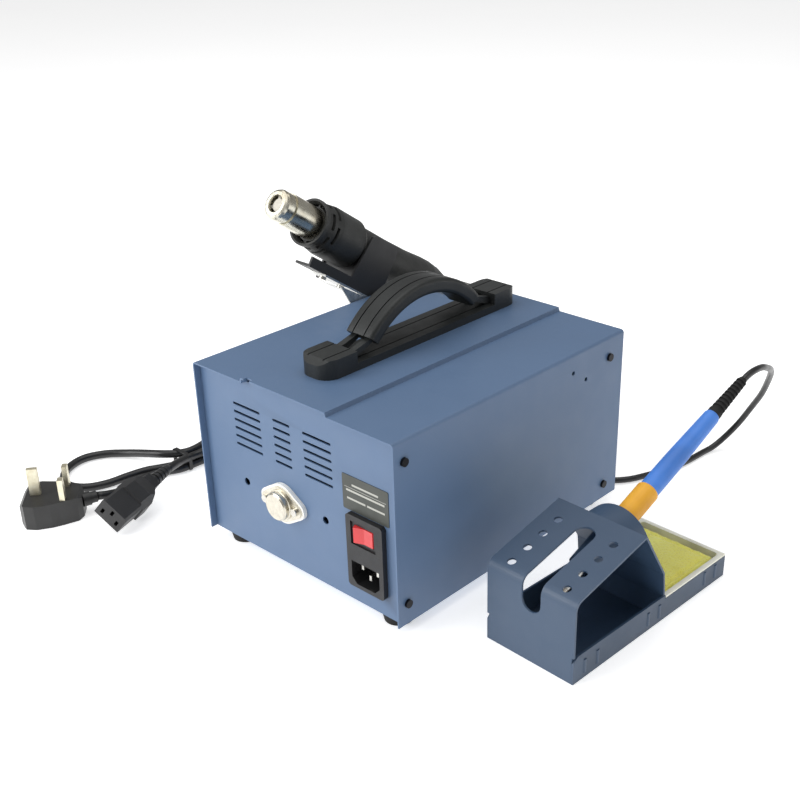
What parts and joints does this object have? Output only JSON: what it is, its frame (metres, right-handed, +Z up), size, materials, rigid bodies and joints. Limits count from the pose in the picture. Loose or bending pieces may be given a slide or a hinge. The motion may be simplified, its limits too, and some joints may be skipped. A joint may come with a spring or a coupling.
{
  "type": "hot air station",
  "caption": "Bench hot air rework station: steel case with carry handle, hot air gun in a side holder, soldering iron in a stand with sponge tray, and a loose mains lead.",
  "frame": {"origin": "on the surface that the feet stand on, under the middle of the case", "axes": "+Z up, -Y towards the front panel, +X to the right seen from the front, towards the gun"},
  "size_m": [0.4991, 0.4748, 0.2392],
  "materials": {
    "case_paint": "satin powder coat",
    "stand_paint": "satin powder coat",
    "bare_steel": "satin",
    "front_overlay": "matt",
    "black_plastic": "matt",
    "handle_plastic": "fine grain",
    "rubber": "matt",
    "screw_black": "black oxide",
    "screw_steel": "plated",
    "red_rocker": "translucent gloss",
    "label": "satin",
    "insulator_white": "satin",
    "can_nickel": "satin nickel",
    "pin_metal": "plated",
    "coil_core": "varnished",
    "board_green": "solder mask",
    "clear_tube": "silicone",
    "display_dark": "smoked gloss",
    "knob_grey": "satin",
    "gun_plastic": "fine grain",
    "heater_steel": "heat-tinted",
    "ceramic": "bisque",
    "tip_metal": "tinned",
    "orange_grip": "satin",
    "blue_handle": "satin",
    "cord_black": "satin",
    "tray_cream": "satin",
    "sponge_yellow": "open-cell sponge",
    "plug_black": "satin"
  },
  "bodies": {
    "station": {"chassis": "case_paint", "cover": "case_paint", "fascia": "front_overlay", "case_screws": "screw_black", "feet": "rubber", "handle_base": "handle_plastic", "handle_strap": "handle_plastic", "handle_grip": "handle_plastic", "inlet_module": "black_plastic", "inlet_pins": "pin_metal", "rating_label": "label", "to3_insulator": "insulator_white", "to3_package": "can_nickel", "to3_screws": "screw_steel", "transformer": "coil_core", "pump_body": "black_plastic", "main_board": "board_green", "air_tube": "clear_tube", "control_board": "board_green", "display_windows": "display_dark", "switch_housings": "black_plastic", "iron_socket": "bare_steel", "hose_gland": "black_plastic", "holder_bracket": "bare_steel", "holder_cradle": "black_plastic", "holder_screws": "screw_steel", "stand_body": "stand_paint", "stand_base": "stand_paint", "stand_collar": "stand_paint", "iron_cord_floor": "cord_black", "iron_coil": "cord_black", "iron_cord_end": "cord_black", "iron_plug": "plug_black", "c13_connector": "plug_black", "mains_plug": "plug_black", "lead_runs": "cord_black", "lead_hank": "cord_black", "lead_tie": "cord_black"},
    "power_rocker": {"power_rocker": "red_rocker"},
    "switch_air": {"switch_air": "red_rocker"},
    "switch_iron": {"switch_iron": "red_rocker"},
    "knob_air_temp": {"knob_air_temp": "knob_grey"},
    "knob_air_flow": {"knob_air_flow": "knob_grey"},
    "knob_iron_temp": {"knob_iron_temp": "knob_grey"},
    "gun": {"gun_shell_left": "gun_plastic", "gun_shell_right": "gun_plastic", "gun_guard": "gun_plastic", "heater_tube": "heater_steel", "nozzle_cap": "heater_steel", "heater_core": "ceramic", "gun_screws": "screw_steel", "gun_tail": "rubber"},
    "iron": {"iron_tip": "tip_metal", "iron_barrel": "bare_steel", "iron_sleeve": "orange_grip", "iron_handle": "blue_handle", "iron_boot": "rubber", "iron_cord_rise": "cord_black"},
    "tray": {"sponge_tray": "tray_cream"},
    "sponge": {"sponge": "sponge_yellow"}
  },
  "joints": [
    {"name": "power_switch", "type": "hinge", "parent": "station", "child": "power_rocker", "pos_m": [-0.0668, 0.1184, 0.066], "axis": [0, 0, 1], "range_deg": [-20, 0]},
    {"name": "air_switch", "type": "hinge", "parent": "station", "child": "switch_air", "pos_m": [0.022, -0.1098, 0.034], "axis": [1, 0, 0], "range_deg": [0, 20]},
    {"name": "iron_switch", "type": "hinge", "parent": "station", "child": "switch_iron", "pos_m": [-0.02, -0.1098, 0.034], "axis": [1, 0, 0], "range_deg": [0, 20]},
    {"name": "air_temp_knob", "type": "hinge", "parent": "station", "child": "knob_air_temp", "pos_m": [0.062, -0.1175, 0.076], "axis": [0, -1, 0], "range_deg": [0, 300]},
    {"name": "air_flow_knob", "type": "hinge", "parent": "station", "child": "knob_air_flow", "pos_m": [0.022, -0.1175, 0.076], "axis": [0, -1, 0], "range_deg": [0, 300]},
    {"name": "iron_temp_knob", "type": "hinge", "parent": "station", "child": "knob_iron_temp", "pos_m": [-0.042, -0.1175, 0.076], "axis": [0, -1, 0], "range_deg": [0, 300]},
    {"name": "gun_lift", "type": "slide", "parent": "station", "child": "gun", "axis": [0, -0.565, 0.8251], "range_m": [0, 0.06]},
    {"name": "iron_draw", "type": "slide", "parent": "station", "child": "iron", "axis": [-0.0379, -0.9231, 0.3827], "range_m": [0, 0.11]},
    {"name": "tray_lift", "type": "slide", "parent": "station", "child": "tray", "axis": [0, 0, 1], "range_m": [0, 0.02]},
    {"name": "sponge_lift", "type": "slide", "parent": "tray", "child": "sponge", "axis": [0, 0, 1], "range_m": [0, 0.018]}
  ]
}
